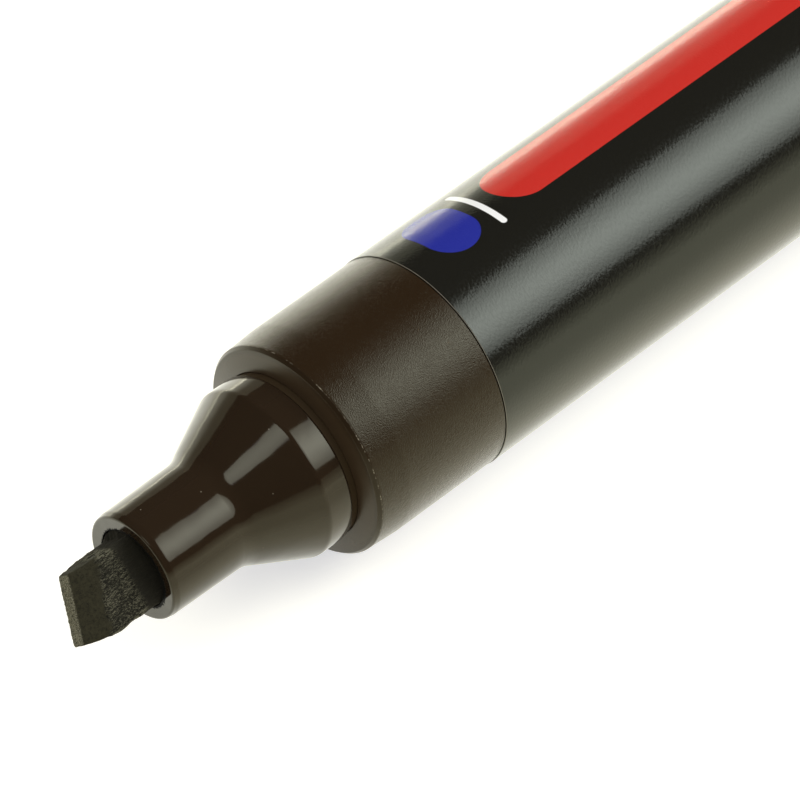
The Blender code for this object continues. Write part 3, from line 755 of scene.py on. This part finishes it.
for nodeName, finish in (("ink_reservoir", rodFibre), ("reservoir_wrap", rodFilm)):
    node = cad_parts[nodeName]
    node.data.materials.clear()
    node.data.materials.append(finish)
print("cap and inner pieces made")


# Floor: a wide white table whose rim turns up, most at the back. Its sizes are in metres.
floor = {
    "flat": 1.2, "rim": 2.6, "drop": 0.00004, "rows": 40, "columns": 96, "crowding": 1.5,
    "white": (0.80, 0.77, 0.62, 1), "seen": (0.925, 0.937, 1.0, 1), "seenGlow": 0.60,
    "close": (0.99, 1.0, 0.95, 1), "markerHalf": 0.09, "sideSoft": 0.01,
    "dimSpan": (-0.052, -0.040), "dim": 0.70,
    "front": {
        "near": (0.004, 0.042), "far": (0.15, 1.0), "glow": (1.0, 0.17, 0.50), "rise": 0.45, "dusk": 0.36,
        "tint": (1.0, 0.95, 0.77, 1), "tintSpan": (0.005, 0.016)},
    "back": {
        "near": (0.075, 0.15), "far": (0.25, 1.0), "glow": (1.0, 0.42, 0.80), "rise": 1.20, "dusk": 0.50,
        "tint": (1.0, 0.98, 0.86, 1), "tintSpan": (0.03, 0.15)}}


# Glow of the table in reflections by the distance from the marker: near, middle, far, then up the rim
def tableGlow(tree, distance, height, side):
    near, middle, far = side["glow"]
    close = ramp(tree, distance, *side["near"], near, middle)
    glow = maths(tree, "ADD", close, ramp(tree, distance, *side["far"], 0.0, far - middle))
    return maths(tree, "MULTIPLY", glow, ramp(tree, height, 0.0, side["dusk"], 1.0, 0.0))


# White to the camera, warmer in reflections, unlike in front and behind, fading out up the rim
def tableFinish(name, look):
    material, tree, shader = newFinish(name, {
        "Base Color": look["white"], "Roughness": 1.0, "Specular IOR Level": 0.0})
    sides = (look["front"], look["back"])
    path = tree.nodes.new("ShaderNodeLightPath")
    place = tree.nodes.new("ShaderNodeTexCoord").outputs["Object"]
    axes = addNode(tree, "ShaderNodeSeparateXYZ", {0: place})
    beyond = maths(tree, "SUBTRACT", maths(tree, "ABSOLUTE", axes.outputs[0]), look["markerHalf"])
    beyond = maths(tree, "MAXIMUM", beyond, 0.0)
    distance = maths(tree, "SQRT", maths(tree, "ADD", squared(tree, beyond), squared(tree, axes.outputs[1])))
    front, back = (tableGlow(tree, distance, axes.outputs[2], side) for side in sides)
    # painted shade: the table's glow in reflections is dimmed before the nose, as the shade under it
    dim = ramp(tree, axes.outputs[0], *look["dimSpan"], look["dim"], 1.0)
    front = maths(tree, "MULTIPLY", front, dim)
    behind = ramp(tree, axes.outputs[1], -look["sideSoft"], look["sideSoft"])
    glow = maths(tree, "MULTIPLY_ADD", maths(tree, "SUBTRACT", back, front), behind, front)
    frontTint, backTint = (
        mixColour(tree, ramp(tree, distance, *side["tintSpan"]), look["close"], side["tint"])
        for side in sides)
    warm = mixColour(tree, behind, frontTint, backTint)
    mirrored = maths(tree, "MAXIMUM", path.outputs["Is Glossy Ray"], path.outputs["Is Transmission Ray"])
    seen = maths(tree, "MULTIPLY", path.outputs["Is Camera Ray"], look["seenGlow"])
    tone = mixColour(tree, path.outputs["Is Camera Ray"], warm, look["seen"])
    tree.links.new(tone, shader.inputs["Emission Color"])
    strength = maths(tree, "ADD", seen, maths(tree, "MULTIPLY", mirrored, glow))
    tree.links.new(strength, shader.inputs["Emission Strength"])
    return material


# A disc of rings whose height grows with the square of the distance past its flat part
def makeFloor(size):
    radius = np.linspace(0, 1, size["rows"])[:, None] ** size["crowding"] * size["rim"]
    angle = np.linspace(0, 2 * np.pi, size["columns"], endpoint=False)[None, :]
    low, high = size["front"]["rise"], size["back"]["rise"]
    up = np.clip((radius - size["flat"]) / (size["rim"] - size["flat"]), 0, 1) ** 2
    up = up * (low + (high - low) * (1 + np.sin(angle)) / 2)
    points = np.stack([radius * np.cos(angle), radius * np.sin(angle), up + 0 * angle - size["drop"]], -1)
    ids = np.arange(size["rows"] * size["columns"]).reshape(size["rows"], size["columns"])
    inner, outer = ids[1:-1], ids[2:]
    quads = np.stack([inner, outer, np.roll(outer, -1, 1), np.roll(inner, -1, 1)], -1).reshape(-1, 4)
    middle = np.stack([0 * ids[0], ids[1], np.roll(ids[1], -1)], -1)
    mesh = bpy.data.meshes.new("table")
    mesh.from_pydata(points.reshape(-1, 3).tolist(), [], quads.tolist() + middle.tolist())
    mesh.shade_smooth()
    mesh.materials.append(tableFinish("tableWhite", size))
    table = bpy.data.objects.new("table", mesh)
    bpy.context.scene.collection.objects.link(table)


makeFloor(floor)


# Soft boxes: a large one to the right of the camera, a narrow one over the nose, a fill behind that isn't
# mirrored, and a narrow beam down onto the table behind. Places are mm from the seam, sides are in metres.
mainBox = {
    "place": (350, -297, 402), "aim": (0, 0, 0), "width": 0.70, "height": 0.50, "radiance": 5.6,
    "edge": 0.35, "spread": 180, "mirrored": True}
topBox = {
    "place": (-225, -48, 499), "aim": (0, 0, 0), "width": 0.24, "height": 0.155, "radiance": 3.1,
    "edge": 0.8, "spread": 180, "mirrored": True}
fillBox = {
    "place": (120, 330, 520), "aim": (0, 0, 0), "width": 0.50, "height": 0.50, "radiance": 2.0,
    "edge": 1.0, "spread": 180, "mirrored": False}
tableBox = {
    "place": (205, 300, 480), "aim": (205, 300, 0), "width": 0.50, "height": 0.36, "radiance": 4.5,
    "edge": 1.0, "spread": 40, "mirrored": False}


# An area light aimed at its spot. Its power gives the radiance asked for: power = radiance x pi x area,
# where the area of the oval is pi / 4 of its two sides.
def makeBox(name, box):
    data = bpy.data.lights.new(name, "AREA")
    data.shape = "ELLIPSE"
    data.size, data.size_y = box["width"], box["height"]
    data.energy = box["radiance"] * math.pi * box["width"] * box["height"] * math.pi / 4
    data.spread = math.radians(box["spread"])
    # the cloth is brightest in the middle and falls off towards its edges, half a side away
    data.use_nodes = True
    tree = data.node_tree
    spot = tree.nodes.new("ShaderNodeNewGeometry").outputs["Parametric"]
    place = addNode(tree, "ShaderNodeVectorMath", {0: spot, 1: (0.5, 0.5, 0)}, operation="DISTANCE")
    glow = ramp(tree, place.outputs["Value"], 0.0, 0.5, 1.0, box["edge"])
    tree.links.new(glow, tree.nodes["Emission"].inputs["Strength"])
    light = bpy.data.objects.new(name, data)
    light.location = Vector((seamX, axisY, axisZ)) + Vector(box["place"]) * mm
    aim = Vector(box["aim"]) - Vector(box["place"])
    light.rotation_euler = aim.to_track_quat("-Z", "Y").to_euler()
    light.visible_camera = False
    light.visible_glossy = box["mirrored"]
    bpy.context.scene.collection.objects.link(light)


for boxName, box in (("mainBox", mainBox), ("topBox", topBox), ("fillBox", fillBox), ("tableBox", tableBox)):
    makeBox(boxName, box)

# a dim room that lights the recesses and hardly shows in reflections
room = {"colour": (1, 1, 1, 1), "mirrored": 0.02, "ambient": 0.55}
world = bpy.data.worlds.new("studio")
world.use_nodes = True
worldTree = world.node_tree
softRay = worldTree.nodes.new("ShaderNodeLightPath").outputs["Is Diffuse Ray"]
roomLight = ramp(worldTree, softRay, 0.0, 1.0, room["mirrored"], room["ambient"])
worldTree.links.new(roomLight, worldTree.nodes["Background"].inputs["Strength"])
worldTree.nodes["Background"].inputs["Color"].default_value = room["colour"]
bpy.context.scene.world = world


# Camera: a long lens from above the nib end, found from the photograph
camera = {
    "azimuth": -44.4755, "elevation": 47.108, "distance": 563.353, "aside": 1.609, "above": 3.065,
    "lens": 311.866, "sensor": 36.0, "clip": (0.01, 20.0)}


def makeCamera(view):
    turn, lift = math.radians(view["azimuth"]), math.radians(view["elevation"])
    right = Vector((math.cos(turn), math.sin(turn), 0))
    ahead = Vector((-math.sin(turn) * math.cos(lift), math.cos(turn) * math.cos(lift), -math.sin(lift)))
    up = right.cross(ahead)
    data = bpy.data.cameras.new("camera")
    data.lens = view["lens"]
    data.sensor_width = view["sensor"]
    data.clip_start, data.clip_end = view["clip"]
    lens = bpy.data.objects.new("camera", data)
    back = right * view["aside"] + up * view["above"] + ahead * view["distance"]
    lens.location = Vector((seamX, axisY, axisZ)) - back * mm
    lens.rotation_euler = ahead.to_track_quat("-Z", "Y").to_euler()
    bpy.context.scene.collection.objects.link(lens)
    bpy.context.scene.camera = lens


makeCamera(camera)
bpy.context.scene.view_settings.view_transform = "Standard"
print("stage, lights and camera made")
